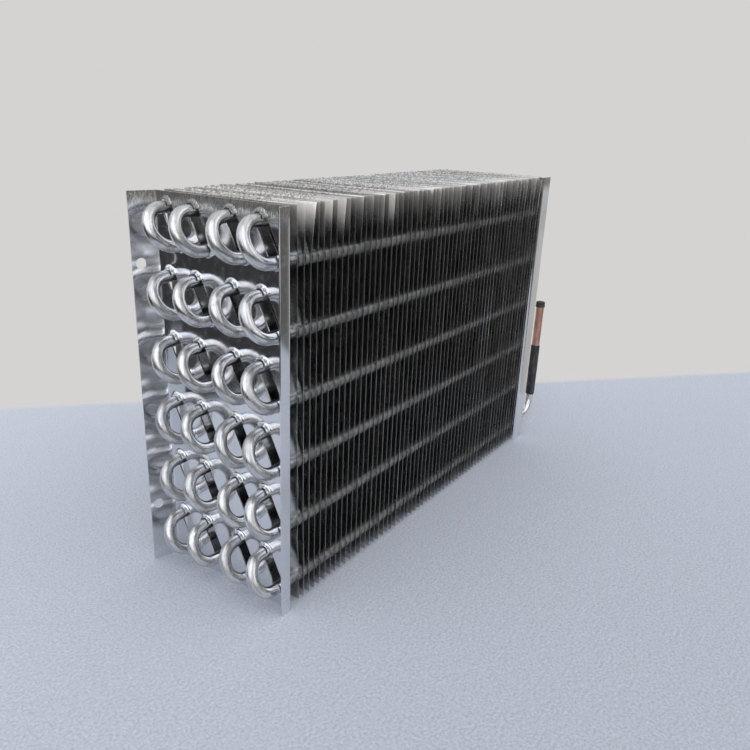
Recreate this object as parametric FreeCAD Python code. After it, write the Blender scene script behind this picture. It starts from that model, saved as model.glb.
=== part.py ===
import FreeCAD, Part
import math
import os

from FreeCAD import Vector

# Tube evaporator: a finned serpentine of round tube between two pressed end plates.
# Lengths are in millimetres. The origin is the middle of the near end plate's lower edge,
# on the sheet's middle plane. +X runs along the tubes to the pipe end, +Y to the back, +Z up.

# Driving dimensions of the core
core_length = 353.0
plate_height = 266.0
plate_width = 113.5

# Tube legs and bends
tube_d = 8.0
leg_spacing = 25.4
slot_slant_deg = 27.0
row_pitch = 43.8
top_row_margin = 21.0
bottom_row_margin = 26.0
pair_gap = 24.6
column_margin = 16.15
near_straight = 6.0
far_straight = 5.0

# End plates
plate_thickness = 1.0
bend_radius_inner = 1.0
near_front_flange = 9.0
far_front_flange = 16.0
back_flange = 20.0
near_back_flare_deg = 14.5
lobe_radius = 5.4
upper_lobe_offset = 1.0
plate_clearance = 0.05
slot_width = 9.8
collar_wall = 0.7
collar_height = 3.6
collar_skirt = 1.4
flange_hole_d = 7.0
flange_hole_inset = 45.5
flange_hole_from_web = 14.0

# Fins
fin_thickness = 0.2
fin_pitch = 6.1
fin_gap_near = 7.5
fin_gap_far = 4.0
fin_bottom = 3.0
fin_top_rise = 1.0
fin_side_inset = 1.5
fin_slot_clearance = 0.05
fins_per_node = 3

# Crossover bends between neighbouring columns, at the pipe end
crossover_socket_gap = 0.4
crossover_socket_length = 8.0
crossover_socket_wall = 0.8
crossover_straight = 2.0
socket_clearance = 0.05

# Pipe tails: the tube end turns up and carries a copper pipe in a shrunk sleeve
tail_reach = 56.0
tail_bend_radius = 18.0
sleeve_start = 1.0
sleeve_length = 56.0
sleeve_wall = 0.7
sleeve_clearance = 0.05
joint_height = 28.0
copper_above_sleeve = 46.0
cap_grip = 4.0
cap_wall = 0.8
cap_top = 1.6

# Fins that are bent in use: fin number from the near plate, then (height, shift along X) pairs.
# A minus number counts from the far plate. Between two heights the fin is flat.
bent_fins = {
    0: ((0.00, 1.9), (0.10, 1.5), (0.20, 0.4), (0.31, 1.0), (0.44, 0.0), (0.90, 0.0), (1.00, -1.9)),
    1: ((0.00, 1.3), (0.10, 1.0), (0.20, 0.0), (0.90, 0.0), (1.00, -1.3)),
    2: ((0.00, 0.5), (0.10, 0.0), (0.90, 0.0), (1.00, 1.7)),
    4: ((0.00, 0.0), (0.89, 0.0), (0.95, 1.3), (1.00, 0.4)),
    5: ((0.00, 0.0), (0.91, 0.0), (1.00, 1.5)),
    7: ((0.00, 0.0), (0.92, 0.0), (1.00, 1.2)),
    11: ((0.00, 0.0), (0.93, 0.0), (1.00, -1.4)),
    -9: ((0.00, 0.0), (0.92, 0.0), (1.00, 1.6)),
    -6: ((0.00, 0.0), (0.88, 0.0), (1.00, 2.4)),
    -3: ((0.00, 0.0), (0.88, 0.0), (1.00, 3.0)),
    -2: ((0.00, 0.0), (0.88, 0.0), (1.00, 2.2)),
    -1: ((0.00, -1.2), (0.10, 0.0), (0.88, 0.0), (1.00, 2.8)),
}

# Values worked out from the driving dimensions
tube_r = tube_d / 2
slot_slant = math.radians(slot_slant_deg)
slot_direction = Vector(0, math.sin(slot_slant), math.cos(slot_slant))
half_leg = slot_direction * (leg_spacing / 2)
row_span = plate_height - top_row_margin - bottom_row_margin
row_count = int(round(row_span / row_pitch)) + 1
row_step = row_span / (row_count - 1)
outer_column = plate_width / 2 - column_margin
inner_column = outer_column - pair_gap
columns = (outer_column, inner_column, -inner_column, -outer_column)
web_face = plate_thickness / 2
bend_radius_mid = bend_radius_inner + plate_thickness / 2
fin_height = plate_height + fin_top_rise - fin_bottom
fin_width = plate_width - 2 * fin_side_inset
fin_span = core_length - fin_gap_near - fin_gap_far
fin_count = int(round(fin_span / fin_pitch)) + 1
fin_step = fin_span / (fin_count - 1)
outward_near = Vector(-1, 0, 0)
outward_far = Vector(1, 0, 0)


def slot_middle(row, column):
    """Middle of one hairpin's slot, in the near plate's plane."""
    return Vector(0, columns[column], plate_height - top_row_margin - row * row_step)


def upper_leg(row, column):
    """Axis of a hairpin's upper leg where it crosses the near plate."""
    return slot_middle(row, column) + half_leg


def lower_leg(row, column):
    """Axis of a hairpin's lower leg where it crosses the near plate."""
    return slot_middle(row, column) - half_leg


def at_x(point, x):
    """The same point moved to another station along the tubes."""
    return Vector(x, point.y, point.z)


# Tube pieces

def rod(start, end, radius):
    """Straight round piece between two points."""
    along = end - start
    return Part.makeCylinder(radius, along.Length, start, along)


def half_turn(start, end, outward, radius):
    """Half-round bend from one leg's end to the next, bulging outward."""
    middle = (start + end) * 0.5
    axis = (start - middle).cross(outward)
    disc = Part.Face(Part.Wire(Part.makeCircle(radius, start, outward)))
    return disc.revolve(middle, axis, 180)


def quarter_turn(start, along, towards, turn_radius, radius):
    """Quarter bend that leaves start along one direction and ends towards another."""
    middle = start + towards * turn_radius
    axis = (start - middle).cross(along)
    disc = Part.Face(Part.Wire(Part.makeCircle(radius, start, along)))
    return disc.revolve(middle, axis, 90)


def join(pieces):
    """One solid from pieces that meet face to face."""
    body = pieces[0].multiFuse(pieces[1:])
    return body.removeSplitter()


# Stations along the tubes
near_turn_x = -(web_face + near_straight)
far_turn_x = core_length + web_face + far_straight
socket_x = core_length + web_face + collar_height + crossover_socket_gap
coil_end_x = socket_x + crossover_socket_length
tail_x = core_length + tail_reach
tail_turn_x = tail_x - tail_bend_radius


def tail_foot(column):
    """Where a tail's quarter bend ends and its riser starts."""
    leg = lower_leg(row_count - 1, column)
    return Vector(tail_x, leg.y, leg.z + tail_bend_radius)


def riser_top(column):
    """Upper end of the aluminium riser, hidden in the sleeve."""
    return tail_foot(column) + Vector(0, 0, sleeve_start + joint_height)


def coil_column(column, top_end_x, bottom_end_x, has_tail):
    """Serpentine of one column: twelve legs, bent near and far without a joint."""
    pieces = []
    for row in range(row_count):
        upper = upper_leg(row, column)
        lower = lower_leg(row, column)
        upper_end = top_end_x if row == 0 else far_turn_x
        lower_end = bottom_end_x if row == row_count - 1 else far_turn_x
        pieces.append(rod(at_x(upper, near_turn_x), at_x(upper, upper_end), tube_r))
        pieces.append(rod(at_x(lower, near_turn_x), at_x(lower, lower_end), tube_r))
        pieces.append(half_turn(at_x(upper, near_turn_x), at_x(lower, near_turn_x), outward_near, tube_r))
        if row < row_count - 1:
            below = upper_leg(row + 1, column)
            pieces.append(half_turn(at_x(lower, far_turn_x), at_x(below, far_turn_x), outward_far, tube_r))
    if has_tail:
        last = at_x(lower_leg(row_count - 1, column), tail_turn_x)
        pieces.append(quarter_turn(last, outward_far, Vector(0, 0, 1), tail_bend_radius, tube_r))
        pieces.append(rod(tail_foot(column), riser_top(column), tube_r))
    return join(pieces)


def crossover(leg_a, leg_b):
    """Return bend with belled sockets that slide over two column ends."""
    socket_r = tube_r + socket_clearance + crossover_socket_wall
    turn_x = coil_end_x + crossover_straight
    pieces = []
    for leg in (leg_a, leg_b):
        pieces.append(rod(at_x(leg, socket_x), at_x(leg, coil_end_x + crossover_socket_wall), socket_r))
        pieces.append(rod(at_x(leg, coil_end_x + crossover_socket_wall), at_x(leg, turn_x), tube_r))
    pieces.append(half_turn(at_x(leg_a, turn_x), at_x(leg_b, turn_x), outward_far, tube_r))
    bend = join(pieces)
    for leg in (leg_a, leg_b):
        bore_r = tube_r + socket_clearance
        bend = bend.cut(rod(at_x(leg, socket_x - 1), at_x(leg, coil_end_x), bore_r))
    return bend


def sleeve(column):
    """Shrunk sleeve over the joint between the riser and the copper pipe."""
    foot = tail_foot(column) + Vector(0, 0, sleeve_start)
    head = foot + Vector(0, 0, sleeve_length)
    inner_r = tube_r + sleeve_clearance
    outer = rod(foot, head, inner_r + sleeve_wall)
    rounded = outer.makeFillet(sleeve_wall / 2, [e for e in outer.Edges if e.Curve.TypeId == "Part::GeomCircle"])
    return rounded.cut(rod(foot - Vector(0, 0, 1), head + Vector(0, 0, 1), inner_r))


def copper_top(column):
    """Upper end of the copper pipe."""
    return tail_foot(column) + Vector(0, 0, sleeve_start + sleeve_length + copper_above_sleeve)


def copper_pipe(column):
    """Copper pipe that stands on the riser inside the sleeve."""
    return rod(riser_top(column), copper_top(column), tube_r)


def cap(column):
    """Rubber cap pushed over the open end of the copper pipe."""
    top = copper_top(column)
    inner_r = tube_r + sleeve_clearance
    skirt = top - Vector(0, 0, cap_grip)
    crown = top + Vector(0, 0, cap_top)
    outer = rod(skirt, crown, inner_r + cap_wall)
    upper_rim = [e for e in outer.Edges if e.BoundBox.ZMin > top.z and e.Curve.TypeId == "Part::GeomCircle"]
    rounded = outer.makeFillet(cap_wall, upper_rim)
    return rounded.cut(rod(skirt - Vector(0, 0, 1), top, inner_r))


# End plates. They are drawn with the web on the plane X = 0 and the flanges towards +X.

def flange_strip(side, depth, flare_deg):
    """Bend and flange on one side of the web, as a strip of sheet in the XY plane."""
    turn = math.radians(90 - flare_deg)
    corner_y = side * (plate_width / 2 - bend_radius_inner - plate_thickness)
    centre = Vector(bend_radius_mid, corner_y, 0)
    inner = bend_radius_inner
    outer = bend_radius_inner + plate_thickness

    def on_arc(radius, angle):
        return centre + Vector(-radius * math.cos(angle), side * radius * math.sin(angle), 0)

    along = Vector(math.sin(turn), side * math.cos(turn), 0)
    straight = depth - bend_radius_mid
    corners = [on_arc(outer, 0), on_arc(outer, turn), on_arc(inner, turn), on_arc(inner, 0)]
    tips = [corners[1] + along * straight, corners[2] + along * straight]
    edges = [
        Part.Arc(corners[0], on_arc(outer, turn / 2), corners[1]).toShape(),
        Part.makeLine(corners[1], tips[0]),
        Part.makeLine(tips[0], tips[1]),
        Part.makeLine(tips[1], corners[2]),
        Part.Arc(corners[2], on_arc(inner, turn / 2), corners[3]).toShape(),
        Part.makeLine(corners[3], corners[0]),
    ]
    strip = Part.Face(Part.Wire(edges)).extrude(Vector(0, 0, plate_height))
    return strip, corners[1], along


def lobe_centres(middle):
    """Centres of a slot's two lobes: the lower leg rests in its lobe, the upper leg is loose in its own."""
    upper_reach = leg_spacing / 2 + upper_lobe_offset
    lower_reach = leg_spacing / 2 - (lobe_radius - tube_r - plate_clearance)
    return middle + slot_direction * upper_reach, middle - slot_direction * lower_reach


def slot_tool(middle, x_start, x_end):
    """Dog-bone cutter along X: a lobe at each end and a straight throat between them."""
    upper, lower = lobe_centres(middle)
    length = (upper - lower).Length
    throat = Part.makeBox(x_end - x_start, slot_width, length)
    throat.translate(Vector(x_start, -slot_width / 2, 0))
    throat.rotate(Vector(0, 0, 0), Vector(1, 0, 0), -slot_slant_deg)
    throat.translate(Vector(0, lower.y, lower.z))
    lobes = [rod(at_x(lobe, x_start), at_x(lobe, x_end), lobe_radius) for lobe in (upper, lower)]
    return throat.multiFuse(lobes)


def collar_rings(middle):
    """Raised lips round both lobes of a slot, open towards the throat."""
    upper, lower = lobe_centres(middle)
    rings = []
    for lobe, turn in ((upper, 0), (lower, 180)):
        base = at_x(lobe, web_face)
        tip = at_x(lobe, web_face + collar_height)
        ring = rod(base, tip, lobe_radius + collar_wall)
        size = 4 * lobe_radius
        keep = Part.makeBox(collar_height, size, size)
        keep.translate(Vector(0, -size / 2, -collar_skirt))
        keep.rotate(Vector(0, 0, 0), Vector(1, 0, 0), turn - slot_slant_deg)
        keep.translate(Vector(web_face, lobe.y, lobe.z))
        rings.append(ring.common(keep))
    return rings


def end_plate(front_depth, back_flare_deg):
    """Pressed end plate: web, two flanges, collared slots and two screw holes at the back."""
    web_half = plate_width / 2 - bend_radius_inner - plate_thickness
    web = Part.makeBox(plate_thickness, 2 * web_half, plate_height, Vector(-web_face, -web_half, 0))
    front, _, _ = flange_strip(-1, front_depth, 0.0)
    back, back_root, back_along = flange_strip(1, back_flange, back_flare_deg)
    middles = [slot_middle(row, column) for row in range(row_count) for column in range(len(columns))]
    collars = [ring for middle in middles for ring in collar_rings(middle)]
    plate = web.multiFuse([front, back] + collars)
    tools = [slot_tool(middle, -plate_thickness, web_face + collar_height + 1) for middle in middles]
    hole_axis = Vector(-back_along.y, back_along.x, 0)
    hole_foot = back_root + back_along * (flange_hole_from_web - bend_radius_mid)
    for height in (flange_hole_inset, plate_height - flange_hole_inset):
        start = at_x(hole_foot, hole_foot.x) + Vector(0, 0, height) - hole_axis * (2 * plate_thickness)
        tools.append(rod(start, start + hole_axis * (4 * plate_thickness), flange_hole_d / 2))
    return plate.cut(tools).removeSplitter()


def near_end_plate():
    """Near plate: its flanges and collars point away from the fins, and its back flange is bent out."""
    plate = end_plate(near_front_flange, near_back_flare_deg)
    return plate.mirror(Vector(0, 0, 0), Vector(1, 0, 0))


def far_end_plate():
    """Far plate, the opposite hand of the near one."""
    plate = end_plate(far_front_flange, 0.0)
    plate.translate(Vector(core_length, 0, 0))
    return plate


# Fins

def fin_profile(bends):
    """Thin outline of one fin seen from the side, as a face in the XZ plane."""
    points = [Vector(shift, 0, fin_bottom + share * fin_height) for share, shift in bends]
    back = [point + Vector(fin_thickness, 0, 0) for point in reversed(points)]
    outline = points + back
    return Part.Face(Part.makePolygon(outline + [outline[0]]))


def fin_slots(x_start, x_end):
    """Cutters for all hairpin slots of a fin: straight slots that hold both legs."""
    width = tube_d + 2 * fin_slot_clearance
    length = leg_spacing + tube_d + 2 * fin_slot_clearance
    tools = []
    for row in range(row_count):
        for column in range(len(columns)):
            middle = slot_middle(row, column)
            slot = Part.makeBox(x_end - x_start, width, length)
            slot.translate(Vector(x_start, -width / 2, -length / 2))
            slot.rotate(Vector(0, 0, 0), Vector(1, 0, 0), -slot_slant_deg)
            slot.translate(Vector(0, middle.y, middle.z))
            tools.append(slot)
    return tools


def fin(number):
    """One fin at its station, bent where bent_fins says so."""
    flat = ((0.0, 0.0), (1.0, 0.0))
    bends = bent_fins.get(number, bent_fins.get(number - fin_count, flat))
    shifts = [shift for _, shift in bends]
    sheet = fin_profile(bends).extrude(Vector(0, fin_width, 0))
    sheet.translate(Vector(-fin_thickness / 2, -fin_width / 2, 0))
    reach = max(abs(shift) for shift in shifts) + fin_thickness
    sheet = sheet.cut(fin_slots(-reach, reach))
    sheet.translate(Vector(fin_gap_near + number * fin_step, 0, 0))
    return sheet


# The pieces by node name

def build_nodes():
    """All nodes of the evaporator, as a name and a shape each."""
    last_row = row_count - 1
    nodes = {
        "near_end_plate": near_end_plate(),
        "far_end_plate": far_end_plate(),
        "coil_column_1": coil_column(0, coil_end_x, tail_turn_x, True),
        "coil_column_2": coil_column(1, coil_end_x, coil_end_x, False),
        "coil_column_3": coil_column(2, coil_end_x, coil_end_x, False),
        "coil_column_4": coil_column(3, coil_end_x, tail_turn_x, True),
        "crossover_back": crossover(upper_leg(0, 0), upper_leg(0, 1)),
        "crossover_middle": crossover(lower_leg(last_row, 1), lower_leg(last_row, 2)),
        "crossover_front": crossover(upper_leg(0, 2), upper_leg(0, 3)),
    }
    for name, column in (("inlet", 0), ("outlet", 3)):
        nodes[name + "_sleeve"] = sleeve(column)
        nodes[name + "_pipe"] = copper_pipe(column)
        nodes[name + "_cap"] = cap(column)
    for start in range(0, fin_count, fins_per_node):
        group = [fin(number) for number in range(start, min(start + fins_per_node, fin_count))]
        nodes["fins_%02d" % (start // fins_per_node + 1)] = Part.Compound(group)
    return nodes


os.makedirs("parts", exist_ok=True)
for node_name, shape in build_nodes().items():
    shape.exportStep(os.path.join("parts", node_name + ".step"))
    print(node_name, len(shape.Solids), round(shape.Volume, 1), shape.isValid())
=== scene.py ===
"""Looks of the finned tube evaporator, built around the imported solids. Lengths are in metres."""

import logging
import math
import random
from dataclasses import dataclass
from enum import Enum
from typing import Callable, Iterable, Sequence

import bmesh
import bpy
from mathutils import Matrix, Vector, noise

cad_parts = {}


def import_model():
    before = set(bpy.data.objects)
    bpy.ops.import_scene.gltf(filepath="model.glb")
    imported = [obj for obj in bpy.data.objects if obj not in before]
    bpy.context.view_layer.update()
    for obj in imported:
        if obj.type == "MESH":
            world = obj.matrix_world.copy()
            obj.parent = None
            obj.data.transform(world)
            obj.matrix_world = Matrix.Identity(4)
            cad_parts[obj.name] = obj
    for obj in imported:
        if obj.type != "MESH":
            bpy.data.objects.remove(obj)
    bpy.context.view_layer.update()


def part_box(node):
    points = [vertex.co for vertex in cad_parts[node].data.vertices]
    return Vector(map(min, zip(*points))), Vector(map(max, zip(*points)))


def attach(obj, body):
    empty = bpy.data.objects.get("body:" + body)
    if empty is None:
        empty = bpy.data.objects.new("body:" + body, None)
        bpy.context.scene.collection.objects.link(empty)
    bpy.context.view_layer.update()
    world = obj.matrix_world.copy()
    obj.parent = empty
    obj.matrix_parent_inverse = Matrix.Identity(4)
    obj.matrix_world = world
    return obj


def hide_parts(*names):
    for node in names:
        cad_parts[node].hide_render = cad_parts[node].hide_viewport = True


LOG = logging.getLogger("evaporator")
MM = 0.001
ROOT = "root"

Triple = tuple[float, float, float]
Piece = bpy.types.Object
Finish = bpy.types.Material
Socket = bpy.types.NodeSocket


class Side(Enum):
    """End of the block: the plain bends, or the end with the pipe tails."""

    NEAR = -1
    FAR = 1


class Slot(Enum):
    """Material slots of the record."""

    PLATE = "plate_aluminium"
    TUBE = "tube_aluminium"
    FIN = "fin_aluminium"
    COPPER = "copper"
    SLEEVE = "black_sleeve"
    RUBBER = "dark_rubber"


@dataclass(frozen=True)
class Layout:
    """Places of plates, slots and tube legs, worked out from the frame and the coil's pitches."""

    near_x: float
    far_x: float
    plate_height: float
    plate_width: float
    rows: int = 6
    row_pitch: float = 43.8 * MM
    top_row: float = 245.0 * MM
    columns: tuple[float, ...] = (40.6 * MM, 16.0 * MM, -16.0 * MM, -40.6 * MM)
    leg_spacing: float = 25.4 * MM
    slant: float = math.radians(27.0)
    tube_radius: float = 4.0 * MM
    sheet: float = 1.0 * MM
    near_straight: float = 6.0 * MM
    far_straight: float = 5.0 * MM
    collar_height: float = 3.6 * MM
    lobe_radius: float = 5.4 * MM
    lobe_rise: float = 1.0 * MM
    leg_slack: float = 0.05 * MM

    def slot_direction(self) -> Vector:
        """Direction from a slot's lower lobe to its upper lobe."""
        return Vector((0.0, math.sin(self.slant), math.cos(self.slant)))

    def slot_middle(self, row: int, column: int) -> Vector:
        """Middle of a hairpin, on the plane X = 0."""
        return Vector((0.0, self.columns[column], self.top_row - row * self.row_pitch))

    def leg(self, row: int, column: int, end: int) -> Vector:
        """Axis of a leg on the plane X = 0: end is 1 for the upper leg and -1 for the lower one."""
        return self.slot_middle(row, column) + self.slot_direction() * (end * self.leg_spacing / 2)

    def slots(self) -> Iterable[Vector]:
        """Middles of all slots.

        Returns:
            The middles, row by row from the top.
        """
        for row in range(self.rows):
            for column in range(len(self.columns)):
                yield self.slot_middle(row, column)

    def lobe_centres(self, middle: Vector) -> tuple[Vector, Vector]:
        """Centres of a plate slot's upper and lower lobes.

        Args:
            middle: the middle of the hairpin in that slot.

        Returns:
            The upper centre and the lower centre.
        """
        upper = middle + self.slot_direction() * (self.leg_spacing / 2 + self.lobe_rise)
        lower_reach = self.leg_spacing / 2 - (self.lobe_radius - self.tube_radius - self.leg_slack)
        return upper, middle - self.slot_direction() * lower_reach


def read_layout() -> Layout:
    """Layout with the plates' places taken from the frame.

    Returns:
        The layout.
    """
    near_low, near_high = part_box("near_end_plate")
    far_low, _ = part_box("far_end_plate")
    return Layout(near_x=0.0, far_x=far_low[0] + Layout.sheet / 2,
                  plate_height=near_high[2], plate_width=-2.0 * near_low[1])


# Modelling helpers

def at_x(x: float, point: Vector) -> Vector:
    """Point moved to another X."""
    return Vector((x, point.y, point.z))


def deselect() -> None:
    """Deselect every object."""
    bpy.ops.object.select_all(action="DESELECT")


def take(*pieces: Piece) -> Piece:
    """Select only these pieces and make the first one active.

    Args:
        pieces: the objects to select.

    Returns:
        The active object.
    """
    deselect()
    for piece in pieces:
        piece.select_set(True)
    bpy.context.view_layer.objects.active = pieces[0]
    return pieces[0]


def settle(name: str) -> Piece:
    """Name the active object and move its place, turn and scale into its mesh.

    Args:
        name: the piece's name.

    Returns:
        The piece.
    """
    piece = bpy.context.active_object
    piece.name = name
    piece.data.name = name
    bpy.ops.object.transform_apply(location=True, rotation=True, scale=True)
    return piece


def add_box(name: str, low: Sequence[float], high: Sequence[float]) -> Piece:
    """Box primitive between two corners.

    Args:
        name: the piece's name.
        low: corner with the lowest X, Y and Z.
        high: the opposite corner.

    Returns:
        The new object.
    """
    deselect()
    middle = [(a + b) / 2 for a, b in zip(low, high)]
    bpy.ops.mesh.primitive_cube_add(size=1.0, location=middle)
    bpy.context.active_object.scale = [b - a for a, b in zip(low, high)]
    return settle(name)


def add_rod(name: str, start: Vector, end: Vector, radius: float, segments: int,
            caps: str = "NGON") -> Piece:
    """Cylinder primitive between two points.

    Args:
        name: the piece's name.
        start: middle of one end.
        end: middle of the other end.
        radius: the radius.
        segments: number of sides.
        caps: end fill of the primitive.

    Returns:
        The new object.
    """
    deselect()
    along = end - start
    turn = along.to_track_quat("Z", "Y").to_euler()
    bpy.ops.mesh.primitive_cylinder_add(
        vertices=segments, radius=radius, depth=along.length, end_fill_type=caps,
        location=(start + end) / 2, rotation=turn)
    return settle(name)


def edit(piece: Piece, mode: str = "VERT", action: str = "DESELECT") -> bmesh.types.BMesh:
    """Enter edit mode on a piece with nothing selected, or everything.

    Args:
        piece: the piece.
        mode: what is picked: VERT, EDGE or FACE.
        action: DESELECT or SELECT.

    Returns:
        The mesh in edit mode.
    """
    take(piece)
    bpy.ops.object.mode_set(mode="EDIT")
    bpy.ops.mesh.select_mode(type=mode)
    bpy.ops.mesh.select_all(action=action)
    return bmesh.from_edit_mesh(piece.data)


def leave() -> None:
    """Return to object mode."""
    bpy.ops.object.mode_set(mode="OBJECT")


def pick_verts(mesh: bmesh.types.BMesh, piece: Piece, test: Callable[[Vector], bool]) -> None:
    """Select the vertices whose places pass a test.

    Args:
        mesh: the mesh in edit mode.
        piece: its object.
        test: says of a place whether its vertex is selected.
    """
    for vert in mesh.verts:
        vert.select_set(test(vert.co))
    mesh.select_flush(True)
    bmesh.update_edit_mesh(piece.data)


def join(name: str, pieces: Sequence[Piece]) -> Piece:
    """Join pieces into one object.

    Args:
        name: name of the joined piece.
        pieces: the pieces; the first one takes the others in.

    Returns:
        The joined piece.
    """
    active = take(*pieces)
    if len(pieces) > 1:
        bpy.ops.object.join()
    active.name = name
    active.data.name = name
    return active


def copy_of(piece: Piece, name: str) -> Piece:
    """Copy of a piece with its own mesh.

    Args:
        piece: the original.
        name: the copy's name.

    Returns:
        The copy.
    """
    twin = piece.copy()
    twin.data = piece.data.copy()
    twin.name = name
    twin.data.name = name
    bpy.context.scene.collection.objects.link(twin)
    return twin


def moved_copy(piece: Piece, name: str, matrix: Matrix) -> Piece:
    """Copy of a piece with its mesh moved by a matrix.

    Args:
        piece: the original.
        name: the copy's name.
        matrix: the move.

    Returns:
        The copy.
    """
    twin = copy_of(piece, name)
    twin.data.transform(matrix)
    return twin


def finish_with(piece: Piece, kind: str, **settings: object) -> None:
    """Give a piece a modifier with these settings and apply it.

    Args:
        piece: the piece.
        kind: the modifier's type.
        **settings: attributes of the modifier.
    """
    take(piece)
    modifier = piece.modifiers.new(kind.lower(), kind)
    for key, value in settings.items():
        setattr(modifier, key, value)
    bpy.ops.object.modifier_apply(modifier=modifier.name)


def carve(piece: Piece, cutter: Piece) -> None:
    """Subtract a cutter from a piece and delete the cutter."""
    finish_with(piece, "BOOLEAN", operation="DIFFERENCE", solver="EXACT", object=cutter)
    bpy.data.objects.remove(cutter)


def bevel_edges(piece: Piece, width: float) -> None:
    """Round a piece's sharp edges."""
    finish_with(piece, "BEVEL", width=width, segments=2, limit_method="ANGLE",
                angle_limit=math.radians(50.0))


def thicken(piece: Piece, thickness: float) -> None:
    """Give a sheet its wall, half to each side."""
    finish_with(piece, "SOLIDIFY", thickness=thickness, offset=0.0, use_even_offset=True)


def cut_across(place: Sequence[float], normal: Sequence[float], clear: bool = False) -> None:
    """Cut the whole mesh in edit mode along a plane.

    Args:
        place: a point of the plane.
        normal: the plane's direction.
        clear: whether the part behind the plane is deleted.
    """
    bpy.ops.mesh.select_all(action="SELECT")
    bpy.ops.mesh.bisect(plane_co=place, plane_no=normal, clear_inner=clear)


def smooth(piece: Piece, angle: float = 40.0) -> None:
    """Shade a piece smooth below an angle."""
    take(piece)
    bpy.ops.object.shade_smooth_by_angle(angle=math.radians(angle))


def recalculate(piece: Piece) -> None:
    """Merge doubles and point the faces outwards.

    Args:
        piece: the piece.
    """
    edit(piece, action="SELECT")
    bpy.ops.mesh.remove_doubles(threshold=0.002 * MM)
    bpy.ops.mesh.normals_make_consistent(inside=False)
    leave()


# Shader expressions

class Shade:
    """Socket wrapper whose operators add Math nodes."""

    def __init__(self, tree: bpy.types.NodeTree, socket: Socket) -> None:
        """Wrap a socket of a node tree."""
        self.tree = tree
        self.socket = socket

    def math(self, operation: str, *others: "Shade | float") -> "Shade":
        """Math node on this socket and others.

        Args:
            operation: the node's operation.
            *others: its second and later operands.

        Returns:
            The result.
        """
        node = self.tree.nodes.new("ShaderNodeMath")
        node.operation = operation
        self.tree.links.new(self.socket, node.inputs[0])
        for index, other in enumerate(others, start=1):
            if isinstance(other, Shade):
                self.tree.links.new(other.socket, node.inputs[index])
            else:
                node.inputs[index].default_value = other
        return Shade(self.tree, node.outputs[0])

    def __add__(self, other: "Shade | float") -> "Shade":
        """Sum."""
        return self.math("ADD", other)

    __radd__ = __add__

    def __mul__(self, other: "Shade | float") -> "Shade":
        """Product."""
        return self.math("MULTIPLY", other)

    __rmul__ = __mul__

    def __sub__(self, other: "Shade | float") -> "Shade":
        """Difference."""
        return self.math("SUBTRACT", other)

    def __rsub__(self, other: float) -> "Shade":
        """Difference from a number."""
        return self.math("MULTIPLY", -1.0).math("ADD", other)

    def clamp(self) -> "Shade":
        """Value held between 0 and 1."""
        return self.math("MAXIMUM", 0.0).math("MINIMUM", 1.0)

    def ramp(self, low: float, high: float) -> "Shade":
        """Smooth step from 0 at low to 1 at high.

        Args:
            low: value that gives 0.
            high: value that gives 1.

        Returns:
            The step.
        """
        node = self.tree.nodes.new("ShaderNodeMapRange")
        node.interpolation_type = "SMOOTHSTEP"
        self.tree.links.new(self.socket, node.inputs["Value"])
        node.inputs["From Min"].default_value = low
        node.inputs["From Max"].default_value = high
        return Shade(self.tree, node.outputs["Result"])


class Nodes:
    """Node tree of a material or a world, with short calls for its nodes."""

    def __init__(self, owner: Finish | bpy.types.World, output: str) -> None:
        """Empty the owner's tree and add its output node.

        Args:
            owner: the material or the world.
            output: type of its output node.
        """
        owner.use_nodes = True
        self.tree = owner.node_tree
        self.tree.nodes.clear()
        self.output = self.tree.nodes.new(output)

    def node(self, kind: str, settings: dict | None = None,
             inputs: dict | None = None) -> bpy.types.Node:
        """Add a node, set its settings, then its sockets.

        Args:
            kind: the node's type.
            settings: attributes that are set first.
            inputs: values or links of its sockets.

        Returns:
            The node.
        """
        node = self.tree.nodes.new(kind)
        for key, value in (settings or {}).items():
            setattr(node, key, value)
        for key, value in (inputs or {}).items():
            target = node.inputs[key]
            if isinstance(value, Shade):
                self.tree.links.new(value.socket, target)
            elif isinstance(value, Socket):
                self.tree.links.new(value, target)
            else:
                target.default_value = value
        return node

    def parts(self, vector: Socket) -> list[Shade]:
        """X, Y and Z of a vector."""
        node = self.node("ShaderNodeSeparateXYZ", inputs={"Vector": vector})
        return [Shade(self.tree, node.outputs[name]) for name in "XYZ"]

    def mix(self, factor: "Shade | Socket | float", first: Sequence[float] | Socket,
            second: Sequence[float] | Socket) -> Socket:
        """Mix of two colours.

        Args:
            factor: share of the second colour.
            first: colour where the share is 0.
            second: colour where the share is 1.

        Returns:
            The mixed colour.
        """
        colours = [value if isinstance(value, Socket) else (*value, 1.0)
                   for value in (first, second)]
        node = self.node("ShaderNodeMix", {"data_type": "RGBA"}, {
            "Factor": factor, 6: colours[0], 7: colours[1]})
        return node.outputs[2]

    def close(self, shader: bpy.types.Node) -> None:
        """Join a shader to the output."""
        self.tree.links.new(shader.outputs[0], self.output.inputs["Surface"])


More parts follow.
